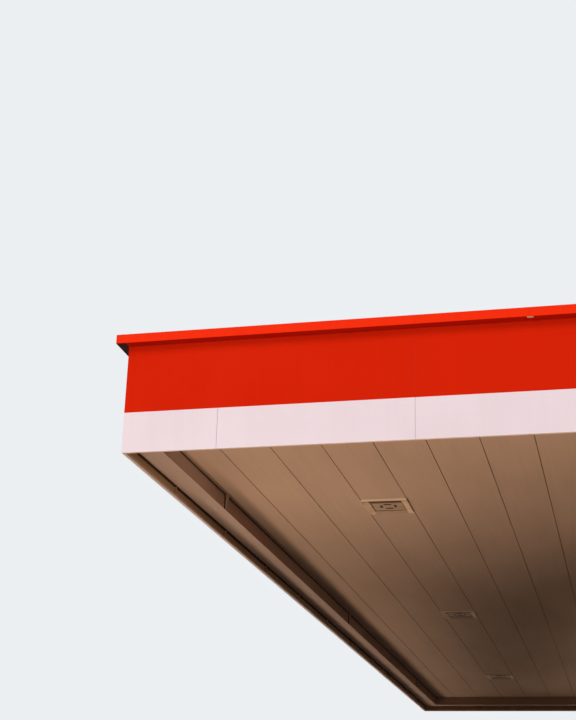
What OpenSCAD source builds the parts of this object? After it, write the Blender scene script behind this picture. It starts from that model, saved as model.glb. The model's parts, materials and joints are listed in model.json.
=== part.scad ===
// Filling station canopy: a flat deck of steel pans hung under purlins on two
// centre columns, with a box gutter and a two-colour fascia round all four sides.
// Millimetres. X runs along the short front, Y away from it, Z up from the ground.

/* [Canopy] */
// Width of the short front, over the fascia
canopy_w = 7620; // [5500:10:10000]
// Length along the deck pans, over the fascia
canopy_l = 15240; // [11500:10:19000]
// Clear height from the ground to the underside of the fascia
clear_h = 4572; // [3600:1:5600]

/* [Fascia] */
// Height of the whole fascia
fascia_h = 914.4; // [750:0.1:1150]
// Height of the white band along the bottom
white_h = 314; // [290:1:400]
// Width of one fascia panel
panel_w = 1473.2; // [1000:0.1:1800]
// Leg of a corner panel on the face that it begins
corner_leg = 736.6; // [400:0.1:1000]
// Shortest leg of a panel, cap or trim left over for the far corner of a face
least_leg = 300; // [150:10:400]
// Depth of the folded edges of a fascia panel
tray_d = 26; // [20:0.5:40]
// Thickness of the composite sheet
panel_t = 4; // [3:0.5:6]
// Open joint between two fascia panels
panel_gap = 3; // [2:0.5:8]
// Thickness of the trim under the fascia
trim_t = 1.6; // [1:0.1:3]
// Height of the trim's leg behind the fascia
trim_leg = 20; // [12:1:30]
// Distance from the left corner of the front and the rear to the first joint of the trim
trim_first = 3010; // [1500:1:3040]
// Distance from the front to the first joint of the trim along the sides
trim_side_first = 2620; // [1500:1:3040]
// Open joint between two pieces of trim
trim_gap = 8; // [2:0.5:10]
// Open mitre of the trim at the corners
trim_mitre = 1; // [0.5:0.5:3]

/* [Fascia frame] */
// Leg of the frame's angles, and width of its bars
angle_w = 50.8; // [40:0.1:60]
// Thickness of the frame's angles and bars
angle_t = 4.8; // [3:0.1:7]
// Width of the frame's square posts
post_w = 50.8; // [40:0.1:60]
// Number of bays between the posts of the front and rear frames
front_bays = 6; // [4:2:8]

/* [Cap] */
// How far the cap stands out over the fascia
cap_over = 78; // [40:1:120]
// Height of the cap's front face
cap_face = 71; // [50:1:110]
// Rise of the cap's front edge over the fascia top
cap_rise = 8; // [4:0.5:20]
// Thickness of the cap sheet
cap_t = 1.6; // [1:0.1:3]
// Lap of the cap over the frame, behind the fascia
cap_lap = 50; // [30:1:70]
// Stock length of the cap and of the trim under the fascia
stock_l = 3048; // [2400:1:3600]
// Open joint between two pieces of cap
cap_gap = 3; // [1:0.5:8]

/* [Deck] */
// Cover width of one deck pan
pan_w = 406.4; // [300:0.1:500]
// Height of a pan's ribs
rib_h = 76.2; // [50:0.1:100]
// Thickness of the pan sheet
pan_t = 1.2; // [0.8:0.1:2]
// Shadow gap between two pans
seam_gap = 4; // [2:0.5:8]
// Distance from the fascia's outer face to the edge of the deck
deck_inset = 152.4; // [120:0.1:190]
// Narrowest pan that is cut for the edge of the deck
least_pan = 100; // [80:1:150]
// Width of the hooks along the tops of the ribs, and of the gutter's top edge
hook_w = 18; // [10:1:25]
// Play between the hooks of two pans
hook_clear = 1; // [0.5:0.1:3]

/* [Gutter] */
// Width of the box gutter
gutter_w = 203.2; // [160:0.1:260]
// Depth of the gutter's inner side
gutter_d = 122; // [90:1:180]
// Height of the gutter's outer side
gutter_back = 170; // [130:1:200]
// Thickness of the gutter sheet
gutter_t = 2; // [1.2:0.1:3]
// Height of the gutter's bottom over the underside of the fascia
gutter_lift = 81.5; // [50:0.5:120]
// Gap between the gutter's inner side and the deck
deck_gap = 8; // [1:0.5:10]
// How far the lower part of the gutter's outer side stands off the fascia
gutter_off = 14; // [4:1:30]
// Height of that lower part
gutter_step = 60; // [20:1:65]
// Distance from the front to the first joint of the side gutters
gutter_first = 1940; // [1000:10:5000]
// Length of gutter between two joints
gutter_piece = 5460; // [3000:10:6100]
// Open joint between two lengths of gutter
gutter_gap = 6; // [2:0.5:12]
// Length of the strap inside a gutter joint
strap_w = 80; // [50:1:120]
// Thickness of the strap
strap_t = 2; // [1:0.1:3]
// Thickness of the bracket plate behind a gutter joint
bracket_t = 4; // [2:0.5:6]
// Width of the bracket plate at the deck
bracket_top = 45; // [30:1:60]
// Width of the bracket plate at its foot
bracket_foot = 12; // [6:1:25]

/* [Lights] */
// Number of lights in each row
lights = 3; // [1:1:5]
// Distance between two lights in a row
light_pitch = 5080; // [2400:10:6500]
// Deck pan that carries the lights, counted outwards from the middle
light_pan = 6; // [3:1:6]
// Clearance between a light's frame and the seams beside it
light_side = 3.2; // [2:0.1:20]
// Depth of a light's frame under the deck
light_d = 12; // [8:1:30]
// Width of the lip along the bottom of a light's frame
light_lip = 8; // [4:1:16]
// Diameter of the ring of lamps
ring_d = 150; // [100:1:170]
// How far a light's frame stands out round the housing over the deck
housing_side = 50; // [40:1:55]
// Thickness of the housing's sheet
housing_t = 2; // [1:0.1:3]
// Clearance round the housing in the pan, and under the purlins
housing_gap = 4; // [2:0.5:8]
// Thickness of the frame's sheet and of the plate
bezel_t = 2; // [1:0.1:3]
// How far the frame's inner edge reaches up into the housing
bezel_grip = 14; // [8:1:20]
// Height of the plate over the underside of the deck
plate_up = 4; // [2:0.5:8]
// Thickness of the lamp windows under the plate
lens_t = 4; // [2:0.5:6]
// Width of the lamp windows across the ring
lens_w = 18; // [8:1:30]
// Angle that each of the four lamp windows covers
lens_arc = 58; // [30:1:80]

/* [Columns] */
// Distance between the two columns
column_pitch = 7620; // [5000:10:9500]
// Width of the square column
column_w = 304.8; // [200:0.1:400]
// Wall of the column
column_t = 9.5; // [6:0.5:16]
// Width of the base plate
base_w = 610; // [560:1:800]
// Thickness of the base plate
base_t = 38; // [20:1:60]
// Distance between anchor bolt holes
anchor_pitch = 483; // [440:1:540]
// Diameter of the anchor bolt holes
anchor_d = 36; // [24:1:50]
// Clearance round the column where it passes the deck
column_clear = 12; // [5:1:30]
// Thickness of the collar under the deck
collar_t = 3; // [1.5:0.5:5]
// Lap of the collar under the deck
collar_lap = 40; // [20:1:60]
// Gap between the collar and the column
collar_gap = 1; // [0.5:0.1:3]
// Thickness of the plate on top of the column
cap_plate_t = 19; // [12:1:25]
// How far that plate stands out round the column
cap_plate_lap = 47.6; // [30:0.1:70]

/* [Beams] */
// Depth of the main beam
beam_h = 406; // [300:1:460]
// Width of the main beam's flanges
beam_w = 178; // [140:1:260]
// Thickness of the main beam's flanges
flange_t = 12.8; // [8:0.1:18]
// Thickness of the main beam's web
web_t = 7.7; // [5:0.1:12]
// Depth of the purlins
purlin_h = 259; // [200:1:320]
// Width of the purlins' flanges
purlin_w = 102; // [75:1:130]
// Thickness of the purlins' flanges
purlin_flange_t = 10.2; // [6:0.1:13]
// Thickness of the purlins' web
purlin_web_t = 6.4; // [4:0.1:10]
// Number of purlin lines
purlins = 6; // [4:1:8]
// Distance from the fascia's face to the first purlin line
purlin_inset = 610; // [400:1:900]
// Gap between the main beam's flange and a purlin's end
purlin_setback = 12; // [5:1:25]
// Thickness of the shear tabs and stiffeners on the main beam
tab_t = 10; // [6:1:16]
// Reach of a shear tab along the purlin's web
tab_reach = 80; // [60:1:110]
// Clearance over and under a shear tab, between the purlin's flanges
tab_clear = 35; // [20:1:50]
// Thickness of the end plates on the beams
end_plate_t = 12; // [8:1:20]
// Depth of the outlookers
outlooker_h = 152; // [100:1:160]
// Width of the outlookers' flanges
outlooker_w = 51; // [40:1:60]
// Thickness of the outlookers' sheet
outlooker_t = 6; // [4:0.5:8]

/* [Hidden] */

FRONT = 0;
RIGHT = 1;
REAR = 2;
LEFT = 3;

half_w = canopy_w / 2;
half_l = canopy_l / 2;
// Heights of the deck's underside, of the tops of its ribs, and of the main beam
deck_z = clear_h + gutter_lift + gutter_d + deck_gap;
rib_z = deck_z + rib_h;
beam_z = rib_z + cap_plate_t;

// Distance from the fascia's face to the inner side of the frame's posts
frame_in = tray_d + angle_t + post_w;

purlin_step = (canopy_l - 2 * purlin_inset) / (purlins - 1);

// The purlins' shear tabs: lowest point, height, and end from the middle of the beam
tab_z = rib_z + purlin_flange_t + tab_clear;
tab_h = purlin_h - 2 * (purlin_flange_t + tab_clear);
tab_end = beam_w / 2 + purlin_setback + tab_reach;

// Half sizes of the deck, and whole pans in each half
deck_half_w = half_w - deck_inset;
deck_half_l = half_l - deck_inset;
whole_pans = floor((deck_half_w - least_pan) / pan_w);

// Lights: place of the rows, widths of the frame and the housing, and inner edge of the frame
light_x = (light_pan - 0.5) * pan_w;
light_w = pan_w - 2 * light_side;
housing_w = light_w - 2 * housing_side;
bezel_in = housing_side + housing_t + bezel_t;

// Outer radius of the columns' corners
corner_r = 2 * column_t;

gutter_joint_count = 1 + floor((canopy_l - gutter_first - 2 * gutter_w) / gutter_piece);

// How far a cut runs past the piece that it opens
cut = 1;
// Extra length of a run before its ends are mitred
spare = 50;

// Outline of a bent sheet: the bend line, then the same line moved left by its thickness
function unit(v) = v / norm(v);
function normal(p, i) = let (v = unit(p[i + 1] - p[i])) [-v[1], v[0]];
function moved(p, i, t) =
    i == 0 ? p[0] + t * normal(p, 0)
    : i == len(p) - 1 ? p[i] + t * normal(p, i - 1)
    : let (a = normal(p, i - 1), b = normal(p, i)) p[i] + t * (a + b) / (1 + a * b);
function sheet_outline(p, t) = concat(p, [for (i = [len(p) - 1 : -1 : 0]) moved(p, i, t)]);

// Edge of the deck's pan number k, counted from the middle
function pan_edge(k) = abs(k) <= whole_pans ? k * pan_w : sign(k) * deck_half_w;
function side_length(side) = side % 2 == 0 ? canopy_w : canopy_l;
function side_distance(side) = side % 2 == 0 ? half_l : half_w;
function panel_count(side) = floor((side_length(side) - corner_leg - least_leg) / panel_w);
function last_leg(side) = side_length(side) - corner_leg - panel_count(side) * panel_w;
function purlin_y(k) = -half_l + purlin_inset + k * purlin_step;

module sheet(bend_line, t) {
    polygon(sheet_outline(bend_line, t));
}

// Work on one side: x to the right as seen from outside, y inwards from the
// fascia's face, z up from its underside
module on_side(side) {
    rotate([0, 0, 90 * side])
        translate([0, -side_distance(side), clear_h])
            children();
}

// A section, drawn inwards and up, run along x and mitred at both ends
module mitred_run(length, outer, inner) {
    reach = length / 2 + spare + abs(outer);
    intersection() {
        rotate([90, 0, 90])
            translate([0, 0, -reach])
                linear_extrude(2 * reach)
                    children();
        translate([0, 0, -fascia_h])
            linear_extrude(3 * fascia_h)
                polygon([
                    [-length / 2 + outer, outer], [length / 2 - outer, outer],
                    [length / 2 - inner, inner], [-length / 2 + inner, inner]
                ]);
    }
}

module i_section(h, w, flange, web) {
    square_on(w, flange);
    translate([0, h - flange]) square_on(w, flange);
    square_on(web, h);
}

module square_on(w, h) {
    translate([-w / 2, 0]) square([w, h]);
}

module rounded_square(w, r) {
    square([w - 2 * r, w], center = true);
    square([w, w - 2 * r], center = true);
    for (x = [-1, 1], y = [-1, 1])
        translate([x, y] * (w / 2 - r))
            circle(r, $fn = 48);
}

module at_columns() {
    for (s = [-1, 1])
        translate([0, s * column_pitch / 2, 0])
            children();
}

module at_lights() {
    for (s = [-1, 1], k = [0 : lights - 1])
        translate([s * light_x, (k - (lights - 1) / 2) * light_pitch, deck_z])
            children();
}

// Columns
module base_plates() {
    color("silver")
        at_columns()
            difference() {
                translate([-base_w / 2, -base_w / 2, 0]) cube([base_w, base_w, base_t]);
                for (x = [-1, 1], y = [-1, 1])
                    translate([x * anchor_pitch / 2, y * anchor_pitch / 2, -cut])
                        cylinder(base_t + 2 * cut, d = anchor_d, $fn = 48);
            }
}

module columns() {
    color("white")
        at_columns()
            translate([0, 0, base_t])
                linear_extrude(rib_z - base_t)
                    difference() {
                        rounded_square(column_w, corner_r);
                        rounded_square(column_w - 2 * column_t, corner_r - column_t);
                    }
}

module column_caps() {
    w = column_w + 2 * cap_plate_lap;
    color("gray")
        at_columns()
            translate([-w / 2, -w / 2, rib_z])
                cube([w, w, cap_plate_t]);
}

module column_collars() {
    outer = column_w + 2 * (column_clear + collar_lap);
    inner = column_w + 2 * collar_gap;
    color("white")
        at_columns()
            translate([0, 0, deck_z - collar_t])
                linear_extrude(collar_t)
                    difference() {
                        square(outer, center = true);
                        rounded_square(inner, corner_r + collar_gap);
                    }
}

// Beams
module main_beam() {
    length = canopy_l - 2 * frame_in;
    color("gray") {
        translate([0, 0, beam_z]) {
            rotate([90, 0, 0])
                translate([0, 0, -length / 2])
                    linear_extrude(length)
                        i_section(beam_h, beam_w, flange_t, web_t);
            for (s = [-1, 1])
                translate([-beam_w / 2, s * (length - end_plate_t) / 2 - end_plate_t / 2, 0])
                    cube([beam_w, end_plate_t, beam_h]);
            at_columns()
                for (y = [-1, 1])
                    translate([-beam_w / 2, y * column_w / 2 - tab_t / 2, 0])
                        cube([beam_w, tab_t, beam_h]);
        }
        for (k = [0 : purlins - 1])
            translate([-tab_end, purlin_y(k) + purlin_web_t / 2, tab_z])
                cube([2 * tab_end, tab_t, tab_h]);
    }
}

module purlin_row(s) {
    start = beam_w / 2 + purlin_setback;
    end = half_w - frame_in;
    color("gray")
        for (k = [0 : purlins - 1])
            translate([s * (start + end) / 2, purlin_y(k), rib_z])
                rotate([90, 0, 90]) {
                    translate([0, 0, (start - end) / 2])
                        linear_extrude(end - start)
                            i_section(purlin_h, purlin_w, purlin_flange_t, purlin_web_t);
                    translate([-purlin_w / 2, 0, s > 0 ? (end - start) / 2 - end_plate_t : (start - end) / 2])
                        cube([purlin_w, purlin_h, end_plate_t]);
                }
}

// Short channels from the end purlin to the posts of the front or rear frame
module outlookers() {
    start = frame_in;
    end = purlin_inset - purlin_web_t / 2;
    color("gray")
        for (k = [1 : front_bays - 1])
            if (k != front_bays / 2)
                translate([k * canopy_w / front_bays - half_w, start, rib_z - clear_h + 2 * purlin_flange_t])
                    rotate([-90, 0, 0])
                        mirror([0, 1, 0])
                            linear_extrude(end - start)
                                sheet([
                                    [outlooker_w / 2, outlooker_h], [-outlooker_w / 2, outlooker_h],
                                    [-outlooker_w / 2, 0], [outlooker_w / 2, 0]
                                ], outlooker_t);
}

// Deck
module pan_section(w) {
    left = seam_gap / 2;
    right = w - seam_gap / 2;
    male_h = rib_h - pan_t - hook_clear;
    sheet([
        [left + hook_w - hook_clear, male_h], [left, male_h], [left, 0],
        [right, 0], [right, rib_h - pan_t], [right + seam_gap + hook_w, rib_h - pan_t]
    ], pan_t);
}

module deck_pan(k) {
    translate([pan_edge(k), deck_half_l, deck_z])
        rotate([90, 0, 0])
            linear_extrude(2 * deck_half_l)
                pan_section(pan_edge(k + 1) - pan_edge(k));
}

module deck_pans(first, last) {
    hole = column_w + 2 * column_clear;
    opening = housing_w + 2 * housing_gap;
    color("tan")
        difference() {
            for (k = [first : last]) deck_pan(k);
            at_columns()
                translate([-hole / 2, -hole / 2, deck_z - cut])
                    cube([hole, hole, rib_h + 2 * cut]);
            at_lights()
                translate([-opening / 2, -opening / 2, -cut])
                    cube([opening, opening, pan_t + 2 * cut]);
        }
}

// Lights
module light_housings() {
    h = rib_h - housing_gap;
    color("gray")
        at_lights()
            difference() {
                translate([-housing_w / 2, -housing_w / 2, 0]) cube([housing_w, housing_w, h]);
                translate([-housing_w / 2 + housing_t, -housing_w / 2 + housing_t, -cut])
                    cube([housing_w - 2 * housing_t, housing_w - 2 * housing_t, h - housing_t + cut]);
            }
}

module light_frames() {
    color("beige")
        at_lights()
            for (side = [0 : 3])
                rotate([0, 0, 90 * side])
                    translate([0, -light_w / 2, 0])
                        mitred_run(light_w, 0, bezel_in)
                            sheet([
                                [0, 0], [0, -light_d], [light_lip, -light_d],
                                [bezel_in, -bezel_t], [bezel_in, bezel_grip]
                            ], bezel_t);
}

module light_plates() {
    w = light_w - 2 * bezel_in;
    color("beige")
        at_lights()
            translate([-w / 2, -w / 2, plate_up])
                cube([w, w, bezel_t]);
}

module light_lenses() {
    color("dimgray")
        at_lights()
            for (k = [0 : 3])
                rotate([0, 0, 90 * k - lens_arc / 2])
                    translate([0, 0, plate_up - lens_t])
                        rotate_extrude(angle = lens_arc, $fn = 96)
                            translate([ring_d / 2 - lens_w, 0])
                                square([lens_w, lens_t]);
}

// Gutter
module gutter_run(side) {
    top = gutter_lift + gutter_d;
    in = tray_d + gutter_w;
    color("tan")
        on_side(side)
            difference() {
                mitred_run(side_length(side), tray_d, in)
                    sheet([
                        [tray_d, gutter_lift + gutter_back], [tray_d, gutter_lift + gutter_step],
                        [tray_d + gutter_off, gutter_lift + gutter_step], [tray_d + gutter_off, gutter_lift],
                        [in, gutter_lift], [in, top], [in - hook_w, top]
                    ], gutter_t);
                if (side == RIGHT)
                    gutter_joints()
                        translate([-gutter_gap / 2, 0, 0])
                            cube([gutter_gap, in + cut, fascia_h]);
            }
}

module gutter_joints() {
    for (k = [0 : gutter_joint_count - 1])
        translate([gutter_first + k * gutter_piece - half_l, 0, 0])
            children();
}

module both_sides() {
    for (m = [0, 1])
        mirror([m, 0, 0])
            on_side(RIGHT)
                children();
}

// Sheet inside the trough, across each joint
module gutter_straps() {
    low = gutter_lift + gutter_t;
    out = tray_d + gutter_off + gutter_t;
    in = tray_d + gutter_w - gutter_t;
    color("tan")
        both_sides()
            gutter_joints()
                rotate([90, 0, 90])
                    translate([0, 0, -strap_w / 2])
                        linear_extrude(strap_w)
                            sheet([
                                [in, gutter_lift + gutter_d - gutter_t], [in, low],
                                [out, low], [out, gutter_lift + gutter_step]
                            ], -strap_t);
}

// Plate that carries the trough's inner side from the deck, just behind each joint
module gutter_brackets() {
    in = tray_d + gutter_w;
    color("tan")
        both_sides()
            gutter_joints()
                translate([gutter_gap / 2, 0, 0])
                    rotate([90, 0, 90])
                        linear_extrude(bracket_t)
                            polygon([
                                [in, gutter_lift], [in + bracket_foot, gutter_lift],
                                [in + bracket_top, deck_z - clear_h], [in, deck_z - clear_h]
                            ]);
}

// Frame behind the fascia
module fascia_frame(side) {
    length = side_length(side);
    low = gutter_lift + gutter_back;
    posts = side % 2 == 0 ? front_posts() : side_posts();
    color("gray")
        on_side(side) {
            mitred_run(length, tray_d, tray_d + gutter_t + angle_w)
                sheet([
                    [tray_d + gutter_t, low - angle_w], [tray_d + gutter_t, low],
                    [tray_d + gutter_t + angle_w, low]
                ], -angle_t);
            mitred_run(length, tray_d, tray_d + angle_t)
                translate([tray_d, white_h - angle_w / 2])
                    square([angle_t, angle_w]);
            mitred_run(length, tray_d, tray_d + angle_w)
                sheet([
                    [tray_d, fascia_h - angle_w], [tray_d, fascia_h], [tray_d + angle_w, fascia_h]
                ], -angle_t);
            for (x = posts)
                translate([x - post_w / 2, tray_d + angle_t, low])
                    cube([post_w, post_w, fascia_h - angle_t - low]);
        }
}

function front_posts() = [for (k = [1 : front_bays - 1]) k * canopy_w / front_bays - half_w];

function side_posts() = concat(
    [for (s = [-1, 1]) s * (half_l - tray_d - angle_t - post_w / 2)],
    [for (k = [0 : purlins - 1]) purlin_y(k)],
    [for (k = [0 : purlins - 2]) purlin_y(k) + purlin_step / 2]
);

// Fascia panels: folded trays, open at the back
module tray(w, h) {
    difference() {
        cube([w, tray_d, h]);
        translate([panel_t, panel_t, panel_t])
            cube([w - 2 * panel_t, tray_d, h - 2 * panel_t]);
    }
}

module ell(a, b, d) {
    polygon([[0, 0], [a, 0], [a, d], [d, d], [d, b], [0, b]]);
}

module corner_tray(a, b, h) {
    difference() {
        linear_extrude(h) ell(a, b, tray_d);
        translate([panel_t, panel_t, panel_t])
            linear_extrude(h - 2 * panel_t)
                ell(a - 2 * panel_t, b - 2 * panel_t, tray_d);
    }
}

module straight_panels(side, low, h) {
    on_side(side)
        for (k = [0 : panel_count(side) - 1])
            translate([corner_leg + k * panel_w - side_length(side) / 2 + panel_gap / 2, 0, low])
                tray(panel_w - panel_gap, h);
}

module corner_panels(low, h) {
    for (side = [0 : 3])
        on_side(side)
            translate([-side_length(side) / 2, 0, low])
                corner_tray(corner_leg - panel_gap / 2, last_leg((side + 3) % 4) - panel_gap / 2, h);
}

module white_panels(side) {
    color("white") straight_panels(side, trim_t, white_h - trim_t);
}

module white_corner_panels() {
    color("white") corner_panels(trim_t, white_h - trim_t);
}

module red_panels(side) {
    color("red") straight_panels(side, white_h, fascia_h - white_h);
}

module red_corner_panels() {
    color("red") corner_panels(white_h, fascia_h - white_h);
}

// Open joints of a run that is made of stock lengths, the first at its own distance
module joints(length, first, gap, outer, inner) {
    for (x = [first - length / 2 : stock_l : length / 2 - least_leg])
        translate([x - gap / 2, outer - cut, 0])
            cube([gap, inner - outer + 2 * cut, fascia_h + 2 * cap_rise]);
}

// Trim that the fascia stands on, turned up behind it
module trim_run(length, first) {
    inner = tray_d + trim_t;
    difference() {
        mitred_run(length - trim_mitre, 0, inner)
            sheet([[0, 0], [inner, 0], [inner, trim_leg]], trim_t);
        translate([0, 0, -cut]) joints(length, first, trim_gap, 0, inner);
    }
}

module bottom_trims() {
    color("white") {
        for (side = [FRONT, REAR])
            on_side(side) trim_run(canopy_w, trim_first);
        both_sides() trim_run(canopy_l, trim_side_first);
    }
}

// Cap: up from the fascia, out to the face, up, and back over the frame
module cap_run(side) {
    length = side_length(side);
    top = fascia_h + cap_rise;
    inner = tray_d + cap_lap;
    color("red")
        on_side(side)
            difference() {
                mitred_run(length, -cap_over, inner)
                    sheet([
                        [0, top - cap_face], [-cap_over, top - cap_face], [-cap_over, top],
                        [0, fascia_h + cap_t], [inner, fascia_h + cap_t]
                    ], -cap_t);
                joints(length, stock_l, cap_gap, -cap_over, inner);
            }
}

base_plates();
columns();
column_caps();
column_collars();
main_beam();
purlin_row(-1);  // purlins_left
purlin_row(1);  // purlins_right
on_side(FRONT) outlookers();  // outlookers_front
on_side(REAR) outlookers();  // outlookers_rear
deck_pans(-whole_pans - 1, -light_pan - 1);  // deck_pans_left_outer
deck_pans(-light_pan, -light_pan);  // deck_pan_left_lights
deck_pans(-light_pan + 1, -1);  // deck_pans_left_inner
deck_pans(0, light_pan - 2);  // deck_pans_right_inner
deck_pans(light_pan - 1, light_pan - 1);  // deck_pan_right_lights
deck_pans(light_pan, whole_pans);  // deck_pans_right_outer
light_housings();
light_frames();
light_plates();
light_lenses();
gutter_run(FRONT);  // gutter_front
gutter_run(RIGHT);  // gutter_right
gutter_run(REAR);  // gutter_rear
mirror([1, 0, 0]) gutter_run(RIGHT);  // gutter_left
gutter_straps();
gutter_brackets();
fascia_frame(FRONT);  // fascia_frame_front
fascia_frame(RIGHT);  // fascia_frame_right
fascia_frame(REAR);  // fascia_frame_rear
fascia_frame(LEFT);  // fascia_frame_left
white_panels(FRONT);  // white_panels_front
white_panels(RIGHT);  // white_panels_right
white_panels(REAR);  // white_panels_rear
white_panels(LEFT);  // white_panels_left
white_corner_panels();
red_panels(FRONT);  // red_panels_front
red_panels(RIGHT);  // red_panels_right
red_panels(REAR);  // red_panels_rear
red_panels(LEFT);  // red_panels_left
red_corner_panels();
bottom_trims();
cap_run(FRONT);  // cap_front
cap_run(RIGHT);  // cap_right
cap_run(REAR);  // cap_rear
cap_run(LEFT);  // cap_left
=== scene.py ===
"""Looks of a filling station canopy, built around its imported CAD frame.

Metres, in the CAD's own frame: X along the short front, Y along the deck pans, Z up from the ground.
"""
import json
import math

import bmesh
import bpy
from mathutils import Matrix, Vector


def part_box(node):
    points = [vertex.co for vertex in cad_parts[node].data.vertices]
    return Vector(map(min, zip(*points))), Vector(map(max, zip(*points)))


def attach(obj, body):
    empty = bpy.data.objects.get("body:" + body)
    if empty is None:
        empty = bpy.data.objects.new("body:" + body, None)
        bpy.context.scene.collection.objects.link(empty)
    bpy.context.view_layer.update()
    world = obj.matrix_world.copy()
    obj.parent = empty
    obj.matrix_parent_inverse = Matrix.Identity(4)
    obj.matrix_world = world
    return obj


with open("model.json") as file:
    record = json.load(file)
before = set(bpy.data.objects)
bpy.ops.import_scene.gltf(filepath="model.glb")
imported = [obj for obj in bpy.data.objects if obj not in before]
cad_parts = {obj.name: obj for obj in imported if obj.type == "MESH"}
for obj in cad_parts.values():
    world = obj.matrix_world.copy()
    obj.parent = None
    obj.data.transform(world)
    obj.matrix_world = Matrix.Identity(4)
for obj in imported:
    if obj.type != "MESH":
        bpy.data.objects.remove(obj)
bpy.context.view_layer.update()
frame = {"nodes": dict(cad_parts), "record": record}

# Sizes that the details are set out by, read from the frame where a node's box gives them. The columns end
# level with the pans' ribs; GUTTER_IN runs from the fascia's face to the gutter's inner side; panels are
# counted between the corner ones on the front, right, rear and left; STOCK_L is a full length of cap
TRIM_LOW, TRIM_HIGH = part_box("bottom_trims")
HALF_W, HALF_L, CLEAR = TRIM_HIGH.x, TRIM_HIGH.y, TRIM_LOW.z
BASE_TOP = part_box("base_plates")[1].z
COLUMN_W, RIB_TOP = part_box("columns")[1].x * 2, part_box("columns")[1].z
COLUMN_YS = (-3.81, 3.81)
BEAM_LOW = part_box("main_beam")[0].z
PURLIN_YS = [-7.01 + 2.804 * k for k in range(6)]
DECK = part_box("deck_pans_left_inner")[0].z
PAN_W = 0.4064
GUTTER_LOW, GUTTER_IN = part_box("gutter_left")[0].z, 0.2292
GUTTER_JOINTS = [(side, y) for side in (-1, 1) for y in (-5.68, -0.22, 5.24)]
PANEL_W, CORNER_LEG, PANEL_COUNTS = 1.4732, 0.7366, (4, 9, 4, 9)
STOCK_L = 3.048
CAP_OVER, CAP_FACE = -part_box("cap_front")[0].y - HALF_L, 0.071

# Heights over the fascia's underside. Painted shade darkens the fascia's back from the last of these up
# to the deck
WHITE_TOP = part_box("white_corner_panels")[1].z - CLEAR
FASCIA_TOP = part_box("red_corner_panels")[1].z - CLEAR
CAP_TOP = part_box("cap_front")[1].z - CLEAR
CAP_LOW = CAP_TOP - CAP_FACE
LAP_TOP = FASCIA_TOP + 0.0016
SHADE_LOW = 0.087

# The lights, in two rows. Painted shade darkens them within RIM_IN of a row's middle, in bands along the
# deck. Each band has its start, from a light's middle, and its tone, or None where no shade is painted
LIGHT_X, LIGHT_PITCH = 2.2352, 5.08
LIGHT_PLACES = [(x, y) for x in (-LIGHT_X, LIGHT_X) for y in (-LIGHT_PITCH, 0.0, LIGHT_PITCH)]
LIGHT_REACH, RIM_IN = 0.3, 0.147
FRAME_SHADE_BANDS = [(-0.26, "#664529"), (-0.146, None), (0.146, "#ac8668"), (0.1925, "#7a583c")]
PLATE_SHADE_BANDS = [(-0.26, "#664529"), (-0.105, None)]


# Shapes. A form is a pair: its points, and its faces as rows of point numbers

def lofted(rings, looped=False):
    """A skin over rings of points; its ends are closed, or joined to each other if looped."""
    count = len(rings[0])
    points = [tuple(point) for ring in rings for point in ring]
    faces = []
    for i in range(len(rings) if looped else len(rings) - 1):
        low, high = i * count, (i + 1) % len(rings) * count
        for j in range(count):
            k = (j + 1) % count
            faces.append((low + j, low + k, high + k, high + j))
    if not looped:
        faces.append(tuple(range(count - 1, -1, -1)))
        faces.append(tuple((len(rings) - 1) * count + j for j in range(count)))
    return points, faces


def turned(profile, sides=16):
    """Points (radius, height) turned round Z."""
    turns = [2 * math.pi * i / sides for i in range(sides)]
    return lofted([[(r * math.cos(a), r * math.sin(a), z) for a in turns] for r, z in profile])


def hexagon(flats, height):
    """A six-sided bolt head or nut on Z, with its corners turned off at the top."""
    drop = 0.12 * height
    rings = []
    for z, limit in ((0.0, flats), (height - drop, flats), (height, 0.49 * flats)):
        ring = []
        for i in range(24):
            turn = 2 * math.pi * i / 24
            to_flat = (math.degrees(turn) % 60) - 30
            r = min(0.5 * flats / math.cos(math.radians(to_flat)), limit)
            ring.append((r * math.cos(turn), r * math.sin(turn), z))
        rings.append(ring)
    return lofted(rings)


def square_ring(section):
    """A section of points (half width, height), carried round a square about Z."""
    corner_signs = ((-1, -1), (1, -1), (1, 1), (-1, 1))
    return lofted([[(x * half, y * half, z) for x, y in corner_signs] for half, z in section], looped=True)


def offset_line(line, distance):
    """A bend line moved to its left, the way the CAD's sheets are made."""
    def left_of(i):
        step = (line[i + 1] - line[i]).normalized()
        return Vector((-step.y, step.x))
    moved = []
    for i, point in enumerate(line):
        a = left_of(max(i - 1, 0))
        b = left_of(min(i, len(line) - 2))
        moved.append(point + distance * (a + b) / (1 + a.dot(b)))
    return moved


def bent_strip(line, start, end, width):
    """A sheet bent along (y, z) points, from one distance off the line to the other, width wide along X."""
    line = [Vector(point) for point in line]
    section = offset_line(line, start) + offset_line(line, end)[::-1]
    return lofted([[(x, y, z) for y, z in section] for x in (-width / 2, width / 2)])


def merged(*forms):
    """Several forms as one."""
    points, faces = [], []
    for form_points, form_faces in forms:
        start = len(points)
        points += form_points
        faces += [tuple(start + i for i in face) for face in form_faces]
    return points, faces


def placed(form, places):
    """Copies of a form, one for each place."""
    return merged(*[([tuple(place @ Vector(point)) for point in form[0]], form[1]) for place in places])


def at(x, y, z, up=(0, 0, 1)):
    """A place with its Z axis along up. It turns a form half round Z, which round and square ones don't
    show; any other form goes by Matrix.Translation."""
    return Matrix.Translation((x, y, z)) @ Vector(up).to_track_quat("Z", "Y").to_matrix().to_4x4()


def corners(half):
    """The four corners of a square about the origin."""
    return [(x, y) for x in (-half, half) for y in (-half, half)]


def on_side(side):
    """A face of the canopy: X to the right as seen from outside, Y inwards from the fascia, Z up from
    its underside."""
    distance = HALF_L if side % 2 == 0 else HALF_W
    return Matrix.Rotation(math.radians(90 * side), 4, "Z") @ Matrix.Translation((0, -distance, CLEAR))


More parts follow.
